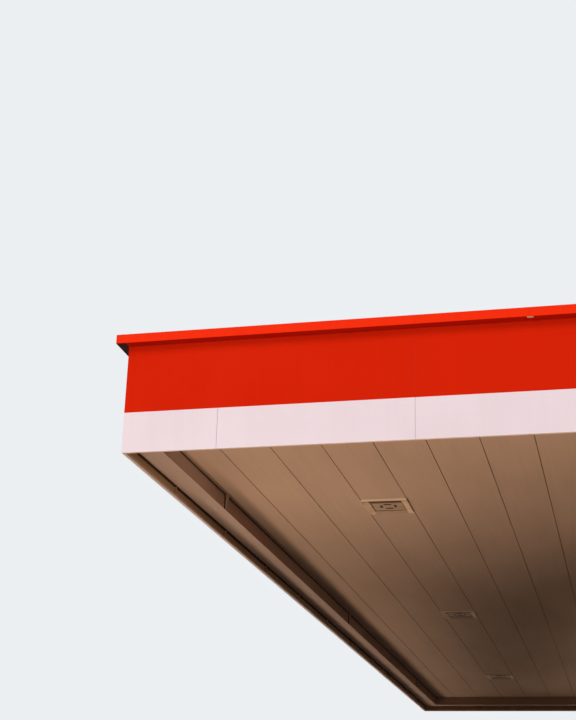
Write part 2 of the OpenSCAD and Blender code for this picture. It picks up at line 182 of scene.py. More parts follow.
def side_length(side):
    return 2 * (HALF_W if side % 2 == 0 else HALF_L)


def spaced(gap):
    """Spots (side, x) about a gap apart on all four sides, half a gap from the corners."""
    spots = []
    for side in range(4):
        length = side_length(side)
        count = round(length / gap)
        spots += [(side, (i + 0.5) * length / count - length / 2) for i in range(count)]
    return spots


def along_sides(spots, foot=Matrix()):
    """A place for each spot (side, x), all with the same foot on their side."""
    return [on_side(side) @ (Matrix.Translation((x, 0, 0)) @ foot) for side, x in spots]


# Finishes. Weather and dust have taken the gloss of most paints, so their specular levels are low

def linear(code):
    """An sRGB hex colour as linear RGBA."""
    values = [int(code[i:i + 2], 16) / 255 for i in (1, 3, 5)]
    return tuple(v / 12.92 if v <= 0.04045 else ((v + 0.055) / 1.055) ** 2.4 for v in values) + (1.0,)


def feed(node, inputs):
    """Sets a node's inputs to values, or links them to other nodes' outputs."""
    for key, value in inputs.items():
        if isinstance(value, bpy.types.NodeSocket):
            node.id_data.links.new(value, node.inputs[key])
        else:
            node.inputs[key].default_value = value


def add(tree, kind, inputs=None, **settings):
    """Adds a node with its settings and inputs."""
    node = tree.nodes.new(kind)
    for name, value in settings.items():
        setattr(node, name, value)
    feed(node, inputs or {})
    return node


def new_finish(name):
    """A material with only its shader, and the place on the canopy in metres."""
    finish = bpy.data.materials.new(name)
    finish.use_nodes = True
    tree = finish.node_tree
    tree.nodes.clear()
    shader = add(tree, "ShaderNodeBsdfPrincipled")
    add(tree, "ShaderNodeOutputMaterial", {"Surface": shader.outputs["BSDF"]})
    place = add(tree, "ShaderNodeTexCoord").outputs["Object"]
    return finish, tree, shader, place


def patches(tree, place, scale, detail, between, most=1.0, roughness=0.5):
    """Patches, scale of them to the metre: 0 where the noise is under the first level, and most where it
    is over the second."""
    noise = add(tree, "ShaderNodeTexNoise", {"Vector": place, "Scale": scale, "Detail": detail,
                                             "Roughness": roughness})
    return add(tree, "ShaderNodeMapRange", {"Value": noise.outputs["Fac"], "From Min": between[0],
                                            "From Max": between[1], "To Max": most}).outputs[0]


def relief(tree, place, scale, detail, strength, depth, over=None):
    """Dents and bumps, scale of them to the metre and up to strength times depth deep, over another
    relief if one is given."""
    noise = add(tree, "ShaderNodeTexNoise", {"Vector": place, "Scale": scale, "Detail": detail})
    bump = add(tree, "ShaderNodeBump", {"Height": noise.outputs["Fac"], "Strength": strength,
                                        "Distance": depth})
    if over:
        feed(bump, {"Normal": over})
    return bump.outputs[0]


def baked_polyester(name, colour, dusty, pan_tones):
    """Steel sheet with polyester baked on in the mill: even, its half gloss gone dull. It leaves the rolls
    with slow waves between its ribs, and the dust that damp air leaves on it draws out along the sheet."""
    finish, tree, shader, place = new_finish(name)
    # Dust in patches half a metre across, drawn out to 2 m along the pans
    spread = add(tree, "ShaderNodeMapping", {"Vector": place, "Scale": (2.0, 0.5, 2.0)})
    film = patches(tree, spread.outputs[0], 1.0, 5.0, between=(0.35, 0.7), most=0.4, roughness=0.6)
    # Streaks 25 mm wide and a metre or more long
    drawn = add(tree, "ShaderNodeMapping", {"Vector": place, "Scale": (40.0, 0.8, 40.0)})
    streak = patches(tree, drawn.outputs[0], 1.0, 3.0, between=(0.45, 0.75), most=0.15)
    amount = add(tree, "ShaderNodeMath", {0: film, 1: streak}, operation="ADD").outputs[0]
    paint = add(tree, "ShaderNodeMix", {0: amount, 6: linear(colour), 7: linear(dusty)},
                data_type="RGBA").outputs[2]
    if pan_tones:
        # Each pan comes from its own coil, so its tone is up to 8% off its neighbour's
        x = add(tree, "ShaderNodeSeparateXYZ", {"Vector": place}).outputs["X"]
        number = add(tree, "ShaderNodeMath", {0: x, 1: 1 / PAN_W}, operation="MULTIPLY")
        number = add(tree, "ShaderNodeMath", {0: number.outputs[0]}, operation="FLOOR")
        coil = add(tree, "ShaderNodeTexWhiteNoise", {"W": number.outputs[0]}, noise_dimensions="1D")
        level = add(tree, "ShaderNodeMapRange", {"Value": coil.outputs["Value"], "To Min": 0.95,
                                                 "To Max": 1.03}).outputs[0]
        grey = add(tree, "ShaderNodeCombineColor", {"Red": level, "Green": level, "Blue": level})
        paint = add(tree, "ShaderNodeMix", {0: 1.0, 6: paint, 7: grey.outputs[0]}, data_type="RGBA",
                    blend_type="MULTIPLY").outputs[2]
        # Dirt that the wind packs into the seams darkens 6 mm on both sides; the deck's last 8 mm beside
        # the gutter is darkened as painted shade
        off_seam = add(tree, "ShaderNodeMath", {0: x, 1: PAN_W / 2}, operation="PINGPONG")
        packed = add(tree, "ShaderNodeMapRange", {"Value": off_seam.outputs[0], "From Min": 0.002,
                                                  "From Max": 0.006, "To Min": 0.5, "To Max": 0.0})
        across = add(tree, "ShaderNodeMath", {0: x}, operation="ABSOLUTE")
        gutter_gap, gap_shade_w = 0.008, 0.008
        deck_edge = HALF_W - GUTTER_IN - gutter_gap
        edge = add(tree, "ShaderNodeMapRange", {"Value": across.outputs[0], "From Min": deck_edge - gap_shade_w,
                                                "From Max": deck_edge, "To Max": 0.8})
        dirt = add(tree, "ShaderNodeMath", {0: packed.outputs[0], 1: edge.outputs[0]}, operation="MAXIMUM")
        paint = add(tree, "ShaderNodeMix", {0: dirt.outputs[0], 6: paint, 7: linear("#4a2a1a")},
                    data_type="RGBA").outputs[2]
    # Rolled sheet waves about 0.25 m across and 1.2 m long, up to a millimetre deep
    rolled = add(tree, "ShaderNodeMapping", {"Vector": place, "Scale": (4.0, 0.8, 4.0)})
    sheet = relief(tree, rolled.outputs[0], 1.0, 1.0, strength=0.3, depth=0.003)
    # The paint's own skin has dimples of about 1 mm; at 6 mm they are coarse enough to show close up
    skin = relief(tree, place, 160.0, 1.0, strength=0.15, depth=0.0003, over=sheet)
    gloss = add(tree, "ShaderNodeMapRange", {"Value": amount, "To Min": 0.6, "To Max": 0.75})
    feed(shader, {"Base Color": paint, "Roughness": gloss.outputs[0], "Normal": skin, "IOR": 1.5,
                  "Specular IOR Level": 0.01})
    return finish


def behind_face(tree, place, depth):
    """1 on whatever lies further than depth behind the fascia's face, on all four sides."""
    spread = add(tree, "ShaderNodeVectorMath", {0: place}, operation="ABSOLUTE")
    spread = add(tree, "ShaderNodeSeparateXYZ", {"Vector": spread.outputs[0]}).outputs
    across = add(tree, "ShaderNodeMath", {0: spread["X"], 1: HALF_W - depth}, operation="LESS_THAN")
    along = add(tree, "ShaderNodeMath", {0: spread["Y"], 1: HALF_L - depth}, operation="LESS_THAN")
    return add(tree, "ShaderNodeMath", {0: across.outputs[0], 1: along.outputs[0]},
               operation="MULTIPLY").outputs[0]


def coated_composite(name, face, streaked, back, specular):
    """Aluminium composite sheet, coil-coated in a fluorocarbon paint: a dull satin, very flat, a shade
    darker in bands where rain runs down. Its back has a thinly laid tan primer, with painted shade
    beside the gutter."""
    finish, tree, shader, place = new_finish(name)
    # Bands about 45 mm wide, where rain has run down the face
    down = add(tree, "ShaderNodeMapping", {"Vector": place, "Scale": (22.0, 22.0, 0.9)})
    rain = patches(tree, down.outputs[0], 1.0, 4.0, between=(0.4, 0.72), most=0.3, roughness=0.55)
    # Slow mottling of the coating over half a metre
    mottle = patches(tree, place, 2.0, 5.0, between=(0.35, 0.7), most=0.6)
    amount = add(tree, "ShaderNodeMath", {0: rain, 1: mottle}, operation="ADD", use_clamp=True).outputs[0]
    front = add(tree, "ShaderNodeMix", {0: amount, 6: linear(face), 7: linear(streaked)}, data_type="RGBA")
    # Painted shade on the back, in the gap beside the gutter up to the deck
    height = add(tree, "ShaderNodeSeparateXYZ", {"Vector": place}).outputs["Z"]
    above = add(tree, "ShaderNodeMath", {0: height, 1: CLEAR + SHADE_LOW}, operation="GREATER_THAN")
    below = add(tree, "ShaderNodeMath", {0: height, 1: DECK}, operation="LESS_THAN")
    deep_shade = add(tree, "ShaderNodeMath", {0: above.outputs[0], 1: below.outputs[0]}, operation="MULTIPLY")
    primer = add(tree, "ShaderNodeMix", {0: deep_shade.outputs[0], 6: linear(back), 7: linear("#5c3d24")},
                 data_type="RGBA")
    # The face coat reaches 3 mm round the edges
    inside = behind_face(tree, place, 0.003)
    both = add(tree, "ShaderNodeMix", {0: inside, 6: front.outputs[2], 7: primer.outputs[2]},
               data_type="RGBA")
    # Sheet of this kind is flat to a millimetre in 0.3 m; its skin's fine dimples are drawn at 4.5 mm
    sheet = relief(tree, place, 3.2, 1.0, strength=0.4, depth=0.002)
    skin = relief(tree, place, 220.0, 1.0, strength=0.1, depth=0.0003, over=sheet)
    gloss = add(tree, "ShaderNodeMapRange", {"Value": amount, "To Min": 0.6, "To Max": 0.7})
    feed(shader, {"Base Color": both.outputs[2], "Roughness": gloss.outputs[0], "Normal": skin,
                  "IOR": 1.45, "Specular IOR Level": specular})
    return finish


def painted_cap(name, colour, faded, underside, deep_shade):
    """Bent aluminium with a sprayed orange-red enamel: a dull satin, chalked a little in patches by sun and
    rain. Its underside is painted darker red as painted shade, near black along the long sides."""
    finish, tree, shader, place = new_finish(name)
    # Chalking in patches of 0.2 m, with runs of a few centimetres down the face
    chalky = add(tree, "ShaderNodeTexNoise", {"Vector": place, "Scale": 5.0, "Detail": 6.0,
                                              "Roughness": 0.65})
    runs = add(tree, "ShaderNodeMapping", {"Vector": place, "Scale": (34.0, 34.0, 3.0)})
    runs = add(tree, "ShaderNodeTexNoise", {"Vector": runs.outputs[0], "Scale": 1.0, "Detail": 3.0})
    both = add(tree, "ShaderNodeMath", {0: chalky.outputs["Fac"], 1: runs.outputs["Fac"]}, operation="ADD")
    chalk = add(tree, "ShaderNodeMapRange", {"Value": both.outputs[0], "From Min": 0.85, "From Max": 1.3,
                                             "To Max": 0.8}).outputs[0]
    paint = add(tree, "ShaderNodeMix", {0: chalk, 6: linear(colour), 7: linear(faded)}, data_type="RGBA")
    # Painted shade: the underside darker red, and near black beyond the long sides
    spread = add(tree, "ShaderNodeSeparateXYZ", {"Vector": place}).outputs
    low = add(tree, "ShaderNodeMath", {0: spread["Z"], 1: CLEAR + CAP_LOW + 0.001}, operation="LESS_THAN")
    across = add(tree, "ShaderNodeMath", {0: spread["X"]}, operation="ABSOLUTE")
    long_side = add(tree, "ShaderNodeMath", {0: across.outputs[0], 1: HALF_W}, operation="GREATER_THAN")
    underside_shade = add(tree, "ShaderNodeMix", {0: long_side.outputs[0], 6: linear(underside), 7: linear(deep_shade)},
               data_type="RGBA")
    paint = add(tree, "ShaderNodeMix", {0: low.outputs[0], 6: paint.outputs[2], 7: underside_shade.outputs[2]},
                data_type="RGBA")
    # Sheet bent by hand on a brake isn't quite flat: waves 0.3 m long, up to 1.5 mm deep. The spray's fine
    # orange peel is drawn at 5.5 mm
    sheet = relief(tree, place, 3.5, 2.0, strength=0.5, depth=0.003)
    skin = relief(tree, place, 180.0, 1.0, strength=0.15, depth=0.0003, over=sheet)
    gloss = add(tree, "ShaderNodeMapRange", {"Value": chalk, "To Min": 0.6, "To Max": 0.72})
    feed(shader, {"Base Color": paint.outputs[2], "Roughness": gloss.outputs[0], "Normal": skin, "IOR": 1.5,
                  "Specular IOR Level": 0.03})
    return finish


def coated_trim(name, face, back, stain):
    """Coil-coated aluminium bent into the trim: white at its outer edge. Underneath and inside it keeps a
    tan wash coat, with orange dust and rust from the frame over it caught in patches."""
    finish, tree, shader, place = new_finish(name)
    # Patches 60 to 100 mm long, as drips from the frame leave them
    drips = patches(tree, place, 11.0, 4.0, between=(0.52, 0.62), roughness=0.6)
    tan = add(tree, "ShaderNodeMix", {0: drips, 6: linear(back), 7: linear(stain)}, data_type="RGBA")
    # Grime along the outside in runs of 50 mm
    grime = patches(tree, place, 20.0, 5.0, between=(0.4, 0.8), most=0.4)
    white = add(tree, "ShaderNodeMix", {0: grime, 6: linear(face), 7: linear("#cdbfb6")}, data_type="RGBA")
    # The white coat reaches 6 mm in
    inside = behind_face(tree, place, 0.006)
    both = add(tree, "ShaderNodeMix", {0: inside, 6: white.outputs[2], 7: tan.outputs[2]}, data_type="RGBA")
    # Waves from the bending, 0.17 m long
    sheet = relief(tree, place, 6.0, 2.0, strength=0.4, depth=0.002)
    gloss = add(tree, "ShaderNodeMapRange", {"Value": grime, "To Min": 0.42, "To Max": 0.62})
    feed(shader, {"Base Color": both.outputs[2], "Roughness": gloss.outputs[0], "Normal": sheet, "IOR": 1.5,
                  "Specular IOR Level": 0.3})
    return finish


def brushed_enamel(name, colour, splashed):
    """Gloss enamel brushed onto the steel columns: faint brush marks up and down, and road dirt splashed
    up from the ground over the lowest 0.6 m."""
    finish, tree, shader, place = new_finish(name)
    height = add(tree, "ShaderNodeSeparateXYZ", {"Vector": place}).outputs["Z"]
    low = add(tree, "ShaderNodeMapRange", {"Value": height, "From Max": 0.6, "To Min": 1.0, "To Max": 0.0})
    # Splashes of 10 to 40 mm
    splash = patches(tree, place, 30.0, 6.0, between=(0.4, 0.75), most=0.7, roughness=0.7)
    dirt = add(tree, "ShaderNodeMath", {0: low.outputs[0], 1: splash}, operation="MULTIPLY").outputs[0]
    paint = add(tree, "ShaderNodeMix", {0: dirt, 6: linear(colour), 7: linear(splashed)}, data_type="RGBA")
    # Bristle marks are under 1 mm apart; at 4 mm they are coarse enough to show
    along = add(tree, "ShaderNodeMapping", {"Vector": place, "Scale": (250.0, 250.0, 4.0)})
    brushed = relief(tree, along.outputs[0], 1.0, 2.0, strength=0.2, depth=0.0004)
    gloss = add(tree, "ShaderNodeMapRange", {"Value": dirt, "To Min": 0.28, "To Max": 0.7})
    feed(shader, {"Base Color": paint.outputs[2], "Roughness": gloss.outputs[0], "Normal": brushed,
                  "IOR": 1.5})
    return finish


def shop_primer(name, colour, scuffed):
    """Grey alkyd primer sprayed on rolled steel in the shop: flat, cloudy where the passes overlap, with
    scuffs from lifting and a trace of the mill scale's grain under it."""
    finish, tree, shader, place = new_finish(name)
    # Overlapping passes about 0.3 m wide, and scuffs of 20 mm
    clouds = patches(tree, place, 3.3, 4.0, between=(0.35, 0.7), most=0.5)
    scuffs = patches(tree, place, 50.0, 6.0, between=(0.6, 0.72), most=0.4, roughness=0.75)
    amount = add(tree, "ShaderNodeMath", {0: clouds, 1: scuffs}, operation="ADD").outputs[0]
    paint = add(tree, "ShaderNodeMix", {0: amount, 6: linear(colour), 7: linear(scuffed)}, data_type="RGBA")
    # Scale and overspray leave a grain of 1 mm, drawn at 3 mm so that it shows
    grain = relief(tree, place, 330.0, 2.0, strength=0.3, depth=0.0005)
    feed(shader, {"Base Color": paint.outputs[2], "Normal": grain, "IOR": 1.5, "Roughness": 0.68,
                  "Specular IOR Level": 0.3})
    return finish


def hot_dip_zinc(name, light, dark):
    """Hot-dip galvanised steel: crystals of zinc about 15 mm across, each with its own grey and gloss, gone
    dull outdoors in clouds of 80 mm."""
    finish, tree, shader, place = new_finish(name)
    crystals = add(tree, "ShaderNodeTexVoronoi", {"Vector": place, "Scale": 66.0})
    shade = add(tree, "ShaderNodeSeparateColor", {"Color": crystals.outputs["Color"]}).outputs["Red"]
    bloom = add(tree, "ShaderNodeTexNoise", {"Vector": place, "Scale": 12.0, "Detail": 5.0})
    mixed = add(tree, "ShaderNodeMath", {0: shade, 1: bloom.outputs["Fac"]}, operation="MULTIPLY")
    mixed = mixed.outputs[0]
    metal = add(tree, "ShaderNodeMix", {0: mixed, 6: linear(light), 7: linear(dark)}, data_type="RGBA")
    facets = add(tree, "ShaderNodeBump", {"Height": shade, "Strength": 0.2, "Distance": 0.0004})
    gloss = add(tree, "ShaderNodeMapRange", {"Value": mixed, "To Min": 0.42, "To Max": 0.6})
    feed(shader, {"Base Color": metal.outputs[2], "Roughness": gloss.outputs[0],
                  "Normal": facets.outputs[0], "Metallic": 0.9})
    return finish


def mill_aluminium(name, colour, dulled):
    """Aluminium sheet as rolled: fine lines along the roll, greyed by the air in clouds of 40 mm."""
    finish, tree, shader, place = new_finish(name)
    # Roll lines are finer than 0.2 mm; at 2 mm they are coarse enough to show
    rolled = add(tree, "ShaderNodeMapping", {"Vector": place, "Scale": (500.0, 12.0, 500.0)})
    lines = add(tree, "ShaderNodeTexNoise", {"Vector": rolled.outputs[0], "Scale": 1.0, "Detail": 2.0})
    oxide = patches(tree, place, 25.0, 5.0, between=(0.35, 0.7))
    metal = add(tree, "ShaderNodeMix", {0: oxide, 6: linear(colour), 7: linear(dulled)}, data_type="RGBA")
    ground = add(tree, "ShaderNodeBump", {"Height": lines.outputs["Fac"], "Strength": 0.1,
                                          "Distance": 0.0002})
    gloss = add(tree, "ShaderNodeMapRange", {"Value": lines.outputs["Fac"], "To Min": 0.3, "To Max": 0.55})
    feed(shader, {"Base Color": metal.outputs[2], "Roughness": gloss.outputs[0],
                  "Normal": ground.outputs[0], "Metallic": 1.0})
    return finish


def zinc_plate(name, colour, dulled):
    """Zinc plating on bolts, screws and clips: bright, clear or passivated yellow, with dull spots after a
    few winters."""
    finish, tree, shader, place = new_finish(name)
    # Dull spots of 2 mm
    spots = patches(tree, place, 500.0, 3.0, between=(0.45, 0.65))
    metal = add(tree, "ShaderNodeMix", {0: spots, 6: linear(colour), 7: linear(dulled)}, data_type="RGBA")
    gloss = add(tree, "ShaderNodeMapRange", {"Value": spots, "To Min": 0.3, "To Max": 0.55})
    feed(shader, {"Base Color": metal.outputs[2], "Roughness": gloss.outputs[0], "Metallic": 1.0})
    return finish


def powder_coat(name, colour, dusty, bands=()):
    """Powder coat baked on the lights' folded steel, with the slight orange peel of melted powder and dust
    in patches. Bands, where given, are painted shadow behind the skirt and painted shade on the far side."""
    finish, tree, shader, place = new_finish(name)
    # Dust in patches of 50 mm
    dust = patches(tree, place, 20.0, 5.0, between=(0.4, 0.7), most=0.7, roughness=0.65)
    paint = add(tree, "ShaderNodeMix", {0: dust, 6: linear(colour), 7: linear(dusty)},
                data_type="RGBA").outputs[2]
    if bands:
        # Painted shadow and shade in bands, from LIGHT_REACH before each light's middle to LIGHT_REACH
        # behind it, between its side rims
        spread = add(tree, "ShaderNodeSeparateXYZ", {"Vector": place}).outputs
        across = add(tree, "ShaderNodeMath", {0: spread["X"]}, operation="ABSOLUTE")
        across = add(tree, "ShaderNodeMath", {0: across.outputs[0], 1: LIGHT_X, 2: RIM_IN},
                     operation="COMPARE")
        along = add(tree, "ShaderNodeMath", {0: spread["Y"], 1: LIGHT_PITCH / 2, 2: -LIGHT_PITCH / 2},
                    operation="WRAP")
        along = add(tree, "ShaderNodeMapRange", {"Value": along.outputs[0], "From Min": -LIGHT_REACH,
                                                 "From Max": LIGHT_REACH})
        shade_ramp = add(tree, "ShaderNodeValToRGB", {"Fac": along.outputs[0]})
        shade_ramp.color_ramp.interpolation = "CONSTANT"
        stops = shade_ramp.color_ramp.elements
        for start, tone in bands:
            stop = stops.new((start + LIGHT_REACH) / (2 * LIGHT_REACH))
            stop.color = linear(tone) if tone else (0.0, 0.0, 0.0, 0.0)
        stops.remove(stops[0])
        stops.remove(stops[-1])
        share = add(tree, "ShaderNodeMath", {0: shade_ramp.outputs["Alpha"], 1: across.outputs[0]},
                    operation="MULTIPLY")
        paint = add(tree, "ShaderNodeMix", {0: share.outputs[0], 6: paint, 7: shade_ramp.outputs["Color"]},
                    data_type="RGBA").outputs[2]
    # Orange peel of 2 to 3 mm
    peel = relief(tree, place, 380.0, 1.0, strength=0.25, depth=0.0003)
    gloss = add(tree, "ShaderNodeMapRange", {"Value": dust, "To Min": 0.55, "To Max": 0.7})
    feed(shader, {"Base Color": paint, "Roughness": gloss.outputs[0], "Normal": peel, "IOR": 1.5,
                  "Specular IOR Level": 0.02})
    return finish


def smoked_acrylic(name, colour, bloom):
    """Moulded acrylic over unlit lamps: dark brown, dulled by a bloom of dust, with ribs across it."""
    finish, tree, shader, place = new_finish(name)
    # Dust in patches of 15 mm
    dust = patches(tree, place, 66.0, 4.0, between=(0.45, 0.75))
    plastic = add(tree, "ShaderNodeMix", {0: dust, 6: linear(colour), 7: linear(bloom)}, data_type="RGBA")
    # Ribs 10 mm apart
    ribs = add(tree, "ShaderNodeTexWave", {"Vector": place, "Scale": 31.8}, bands_direction="X")
    moulded = add(tree, "ShaderNodeBump", {"Height": ribs.outputs["Fac"], "Strength": 0.5,
                                           "Distance": 0.001})
    gloss = add(tree, "ShaderNodeMapRange", {"Value": dust, "To Min": 0.35, "To Max": 0.6})
    feed(shader, {"Base Color": plastic.outputs[2], "Roughness": gloss.outputs[0],
                  "Normal": moulded.outputs[0], "IOR": 1.49, "Specular IOR Level": 0.02})
    return finish


def silicone(name, colour, dusty):
    """Silicone sealant tooled into a joint, or black rubber: soft and dull under a skin of dust."""
    finish, tree, shader, place = new_finish(name)
    # Dust in patches of 12 mm
    dust = add(tree, "ShaderNodeTexNoise", {"Vector": place, "Scale": 80.0, "Detail": 3.0}).outputs["Fac"]
    rubber = add(tree, "ShaderNodeMix", {0: dust, 6: linear(colour), 7: linear(dusty)}, data_type="RGBA")
    tooled = add(tree, "ShaderNodeBump", {"Height": dust, "Strength": 0.3, "Distance": 0.0005})
    feed(shader, {"Base Color": rubber.outputs[2], "Normal": tooled.outputs[0], "IOR": 1.41,
                  "Roughness": 0.6, "Specular IOR Level": 0.3})
    return finish


FINISHES = {
    "galvanised_plate": hot_dip_zinc("hot_dip_zinc", "#b4b7b7", "#7f8585"),
    "column_paint": brushed_enamel("off_white_enamel", "#e6e1d8", "#8d8478"),
    "shop_primer": shop_primer("grey_shop_primer", "#a1a09e", "#77736e"),
    "deck_paint": baked_polyester("taupe_polyester_deck", "#bd8f6e", "#a67c5e", pan_tones=True),
    "gutter_paint": baked_polyester("taupe_polyester_gutter", "#bf9478", "#a37c64", pan_tones=False),
    "light_housing": mill_aluminium("mill_aluminium", "#c9cbcc", "#a0a3a5"),
    "light_frame_paint": powder_coat("cream_powder_coat", "#d9a478", "#b68862", FRAME_SHADE_BANDS),
    "light_plate_paint": powder_coat("brown_powder_coat", "#b08563", "#9a7252", PLATE_SHADE_BANDS),
    "light_lens": smoked_acrylic("smoked_acrylic", "#241509", "#3c2616"),
    "white_panel": coated_composite("white_composite", "#edd9dc", "#e8d3d6", back="#c49468", specular=0.1),
    "white_trim": coated_trim("white_trim_sheet", "#efdfd6", back="#cfa58b", stain="#d99a6c"),
    "red_panel": coated_composite("red_composite", "#d62204", "#d02004", back="#87623f", specular=0.02),
    # The cap's underside colours are painted shade
    "red_cap": painted_cap("orange_red_enamel", "#f62e08", "#f22c0c", underside="#9e1204", deep_shade="#341009"),
}
FASTENERS = zinc_plate("zinc_plated_fasteners", "#c2c6c9", "#8f9290")
PASSIVATED = zinc_plate("yellow_passivated_zinc", "#d89a4c", "#a8652c")
# The skirts' coat is paler than the frames' as a painted highlight
SKIRT_HIGHLIGHT_COAT = powder_coat("pale_powder_highlight_coat", "#ffe8c6", "#ffdfb4")
GREY_SILICONE = silicone("grey_silicone", "#b5a8a9", "#a69a9a")
RED_SILICONE = silicone("red_silicone", "#d02205", "#c42008")
BLACK_RUBBER = silicone("black_rubber", "#1c1612", "#33281f")

for row in frame["record"]["subparts"]:
    mesh = frame["nodes"][row["node"]].data
    mesh.materials.clear()
    mesh.materials.append(FINISHES[row["material_slot"]])


def add_piece(name, form, slot, finish=None):
    """A new piece of the canopy, in its slot's own finish or another. Edges over 35 degrees stay sharp."""
    mesh = bpy.data.meshes.new(name)
    mesh.from_pydata(form[0], [], form[1])
    whole = bmesh.new()
    whole.from_mesh(mesh)
    bmesh.ops.recalc_face_normals(whole, faces=whole.faces)
    whole.to_mesh(mesh)
    whole.free()
    mesh.validate()
    mesh.shade_smooth()
    mesh.set_sharp_from_angle(angle=math.radians(35))
    mesh.materials.append(finish or FINISHES[slot])
    piece = bpy.data.objects.new(name, mesh)
    bpy.context.scene.collection.objects.link(piece)
    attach(piece, "root")


# Column feet: anchor rods with nuts and washers, and welds

def rounded_square(width, radius, step):
    """Points round a square with round corners, each with the direction that points away from it."""
    half = width / 2 - radius
    path = []
    for quarter in range(4):
        turn = Matrix.Rotation(math.radians(90 * quarter), 2)
        for i in range(int(2 * half / step)):
            path.append((turn @ Vector((half + radius, -half + i * step)), turn @ Vector((1, 0))))
        corner_steps = max(4, int(math.pi / 2 * radius / step))
        for i in range(corner_steps):
            angle = math.pi / 2 * i / corner_steps
            out = Vector((math.cos(angle), math.sin(angle)))
            path.append((turn @ (Vector((half, half)) + radius * out), turn @ out))
    return path


def fillet_weld(width, radius, leg):
    """A hand-laid bead round a column's foot, with a ripple every 5 mm."""
    rings = []
    for i, (point, out) in enumerate(rounded_square(width, radius, 0.00125)):
        size = leg * (0.9 + 0.12 * abs(math.sin(math.pi * i / 4)) + 0.03 * math.sin(0.11 * i))
        section = ((0, 0), (size, 0), (0.68 * size, 0.34 * size), (0.34 * size, 0.68 * size), (0, size))
        rings.append([(*(point + away * out), up) for away, up in section])
    return lofted(rings, looped=True)


anchor_out = 0.2415
anchor_places = [at(x, y + along, BASE_TOP) for y in COLUMN_YS for x, along in corners(anchor_out)]
# 1 1/4 in rods with 7 threads to the inch, drawn as rings
rod_r, thread_deep, pitch, ring_count, thread_low = 0.0157, 0.0022, 0.00363, 18, 0.002
thread = [(rod_r - thread_deep, -BASE_TOP + 0.001)]
for i in range(ring_count):
    thread += [(rod_r - thread_deep, thread_low + i * pitch), (rod_r, thread_low + (i + 0.45) * pitch)]
thread += [(rod_r - 0.003, thread_low + ring_count * pitch)]
washer_t = 0.0064
washer = turned([(0.0375, 0.0), (0.0381, 0.0006), (0.0381, 0.0058), (0.0375, washer_t)], 40)
nut_places = [place @ at(0, 0, washer_t) for place in anchor_places]
weld = fillet_weld(COLUMN_W, radius=0.019, leg=0.009)
add_piece("anchor_rods", placed(turned(thread, 24), anchor_places), "galvanised_plate")
add_piece("anchor_washers", placed(washer, anchor_places), "galvanised_plate")
add_piece("anchor_nuts", placed(hexagon(flats=0.0508, height=0.0313), nut_places), "galvanised_plate")
add_piece("foot_welds", placed(weld, [at(0, y, BASE_TOP) for y in COLUMN_YS]), "column_paint")

# Small fasteners, each with its foot at z = 0 and its head upwards
pan_head = turned([(0.0046, 0.0), (0.0046, 0.0012), (0.0038, 0.0024), (0.0018, 0.003),
                   (0.0002, 0.0031)], 14)
low_head = turned([(0.0046, 0.0), (0.0044, 0.0008), (0.003, 0.0016), (0.0003, 0.0018)], 14)
blind_rivet = turned([(0.0048, 0.0), (0.0046, 0.0007), (0.0032, 0.0016), (0.0014, 0.0021),
                      (0.0002, 0.0016)], 12)
roof_screw = merged(turned([(0.007, 0.0), (0.0072, 0.0005), (0.0055, 0.0013), (0.0045, 0.0014)], 16),
                    placed(hexagon(0.008, 0.0034), [at(0, 0, 0.0011)]))
bolt_washer = turned([(0.0182, 0.0), (0.0185, 0.0004), (0.0185, 0.0026), (0.0182, 0.003)], 24)
bolt_head = merged(bolt_washer, placed(hexagon(0.030, 0.0125), [at(0, 0, 0.003)]))
bolt_tip = merged(bolt_washer, placed(hexagon(0.030, 0.016), [at(0, 0, 0.003)]),
                  turned([(0.0094, 0.018), (0.0098, 0.0185), (0.0098, 0.0245), (0.0085, 0.0255)], 18))
small_head = merged(turned([(0.0115, 0.0), (0.0118, 0.0004), (0.0118, 0.0021), (0.0115, 0.0025)], 20),
                    placed(hexagon(0.019, 0.0075), [at(0, 0, 0.0025)]))

# Collars: two screws a side, up into the deck
collar_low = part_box("column_collars")[0].z
screw_out, screw_off = 0.184, 0.12
collar_places = []
for y in COLUMN_YS:
    for quarter in range(4):
        for along in (-screw_off, screw_off):
            spot = Matrix.Rotation(math.radians(90 * quarter), 2) @ Vector((along, screw_out))
            collar_places.append(at(spot.x, y + spot.y, collar_low, (0, 0, -1)))
add_piece("collar_screws", placed(pan_head, collar_places), "column_paint")

# Deck: clips that hold the hooks of the pans to the purlins' lower flanges, on both sides of each
hook_off, flange_top, clip_t, clip_hole = 0.009, 0.0102, 0.002, 0.069
clip = bent_strip([(0.036, flange_top), (0.0525, flange_top), (0.0525, 0.0), (0.084, 0.0)],
                  start=0.0, end=clip_t, width=0.018)
# The middle seam has none: the main beam lies over it
clip_places = [Matrix.Translation((seam * PAN_W + hook_off, y, RIB_TOP)) @ Matrix.Rotation(turn, 4, "Z")
               for seam in [*range(-8, 0), *range(1, 9)] for y in PURLIN_YS for turn in (0.0, math.pi)]
clip_screws = [place @ at(0, clip_hole, clip_t) for place in clip_places]
add_piece("deck_clips", placed(clip, clip_places), "galvanised_plate")
add_piece("deck_clip_screws", placed(roof_screw, clip_screws), "galvanised_plate", FASTENERS)

# Steel frame: bolts through the purlins' webs and the beam's tabs, head on one side and nut on the other
web_face, tab_face, tab_x, tab_zs = 0.0032, 0.0132, 0.141, (4.932, 4.989, 5.046)
tab_places = [(x, y, z) for x in (-tab_x, tab_x) for y in PURLIN_YS for z in tab_zs]
heads = placed(bolt_head, [at(x, y - web_face, z, (0, -1, 0)) for x, y, z in tab_places])
nuts = placed(bolt_tip, [at(x, y + tab_face, z, (0, 1, 0)) for x, y, z in tab_places])
add_piece("tab_bolts", merged(heads, nuts), "galvanised_plate", FASTENERS)
